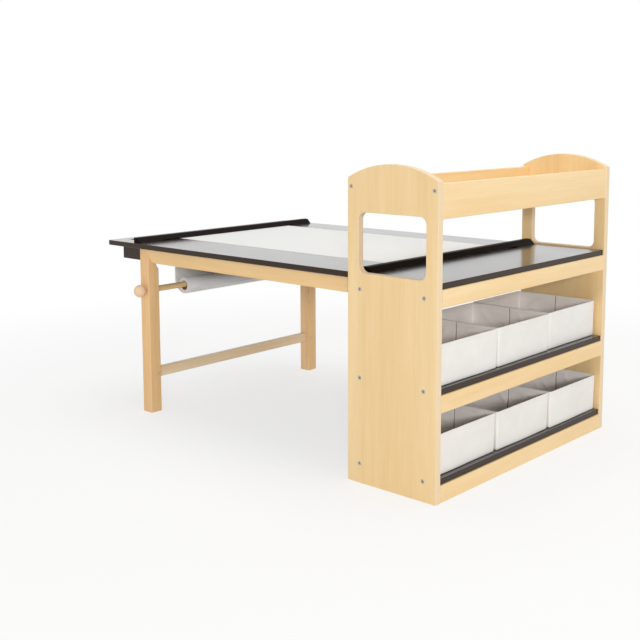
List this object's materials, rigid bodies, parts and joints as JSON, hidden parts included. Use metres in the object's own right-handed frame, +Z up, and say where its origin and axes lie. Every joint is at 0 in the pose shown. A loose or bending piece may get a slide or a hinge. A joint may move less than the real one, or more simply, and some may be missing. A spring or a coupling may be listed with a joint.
{
  "type": "children's art table",
  "caption": "Low art table with a dark top on legs, joined to an open shelf unit with a top trough, fabric bins, a supply tray and a paper roll feeding over the top under tear bars.",
  "frame": {"origin": "on the floor, under the middle of the whole piece", "axes": "+X along the table towards the shelf unit's open front, +Z up, -Y the side with the dowel's knob"},
  "size_m": [1.198, 0.772, 0.7469],
  "materials": {
    "maple_laminate": "satin maple-grain laminate",
    "espresso_board": "satin dark brown laminate",
    "black_bar": "satin dark stain",
    "solid_wood": "clear satin lacquer",
    "pale_wood": "plain turned wood",
    "zinc_screw": "bright zinc",
    "plated_steel": "zinc plate",
    "paper": "matt white paper",
    "core_board": "bare cardboard",
    "bin_fabric": "white non-woven fabric",
    "bin_board": "covered board"
  },
  "bodies": {
    "frame": {"near_side_panel": "maple_laminate", "far_side_panel": "maple_laminate", "trough_front_board": "maple_laminate", "trough_back_board": "maple_laminate", "trough_floor": "maple_laminate", "mid_front_fascia": "maple_laminate", "mid_front_support_rail": "maple_laminate", "mid_back_support_rail": "maple_laminate", "middle_front_fascia": "maple_laminate", "middle_back_fascia": "maple_laminate", "bottom_front_plinth": "maple_laminate", "bottom_back_plinth": "maple_laminate", "tabletop": "espresso_board", "mid_shelf": "espresso_board", "middle_shelf": "espresso_board", "bottom_shelf": "espresso_board", "tray_left_wall": "espresso_board", "tray_right_wall": "espresso_board", "tray_near_end": "espresso_board", "tray_far_end": "espresso_board", "tray_floor": "espresso_board", "left_tear_bar": "black_bar", "right_tear_bar": "black_bar", "near_leg": "solid_wood", "far_leg": "solid_wood", "front_apron": "solid_wood", "rear_apron": "solid_wood", "end_apron": "solid_wood", "leg_stretcher": "solid_wood", "near_panel_screws": "zinc_screw", "far_panel_screws": "zinc_screw", "stretcher_screws": "zinc_screw", "hanger_bolts": "zinc_screw", "hanger_nuts": "zinc_screw", "near_corner_plate": "plated_steel", "far_corner_plate": "plated_steel", "apron_brackets": "plated_steel", "paper_rise": "paper", "paper_run": "paper"},
    "dowel": {"roll_dowel": "pale_wood"},
    "roll": {"paper_roll": "paper", "paper_core": "core_board"},
    "upper_near_bin_body": {"upper_near_bin": "bin_fabric", "upper_near_bin_base": "bin_board"},
    "upper_middle_bin_body": {"upper_middle_bin": "bin_fabric", "upper_middle_bin_base": "bin_board"},
    "upper_far_bin_body": {"upper_far_bin": "bin_fabric", "upper_far_bin_base": "bin_board"},
    "lower_near_bin_body": {"lower_near_bin": "bin_fabric", "lower_near_bin_base": "bin_board"},
    "lower_middle_bin_body": {"lower_middle_bin": "bin_fabric", "lower_middle_bin_base": "bin_board"},
    "lower_far_bin_body": {"lower_far_bin": "bin_fabric", "lower_far_bin_base": "bin_board"}
  },
  "joints": [
    {"name": "dowel_slide", "type": "slide", "parent": "frame", "child": "dowel", "axis": [0, -1, 0], "range_m": [0, 0.06]},
    {"name": "roll_spin", "type": "hinge", "parent": "frame", "child": "roll", "pos_m": [-0.4555, 0.024, 0.3531], "axis": [0, 1, 0], "continuous": true},
    {"name": "upper_near_bin_slide", "type": "slide", "parent": "frame", "child": "upper_near_bin_body", "axis": [1, 0, 0], "range_m": [0, 0.2]},
    {"name": "upper_middle_bin_slide", "type": "slide", "parent": "frame", "child": "upper_middle_bin_body", "axis": [1, 0, 0], "range_m": [0, 0.2]},
    {"name": "upper_far_bin_slide", "type": "slide", "parent": "frame", "child": "upper_far_bin_body", "axis": [1, 0, 0], "range_m": [0, 0.2]},
    {"name": "lower_near_bin_slide", "type": "slide", "parent": "frame", "child": "lower_near_bin_body", "axis": [1, 0, 0], "range_m": [0, 0.2]},
    {"name": "lower_middle_bin_slide", "type": "slide", "parent": "frame", "child": "lower_middle_bin_body", "axis": [1, 0, 0], "range_m": [0, 0.2]},
    {"name": "lower_far_bin_slide", "type": "slide", "parent": "frame", "child": "lower_far_bin_body", "axis": [1, 0, 0], "range_m": [0, 0.2]}
  ]
}
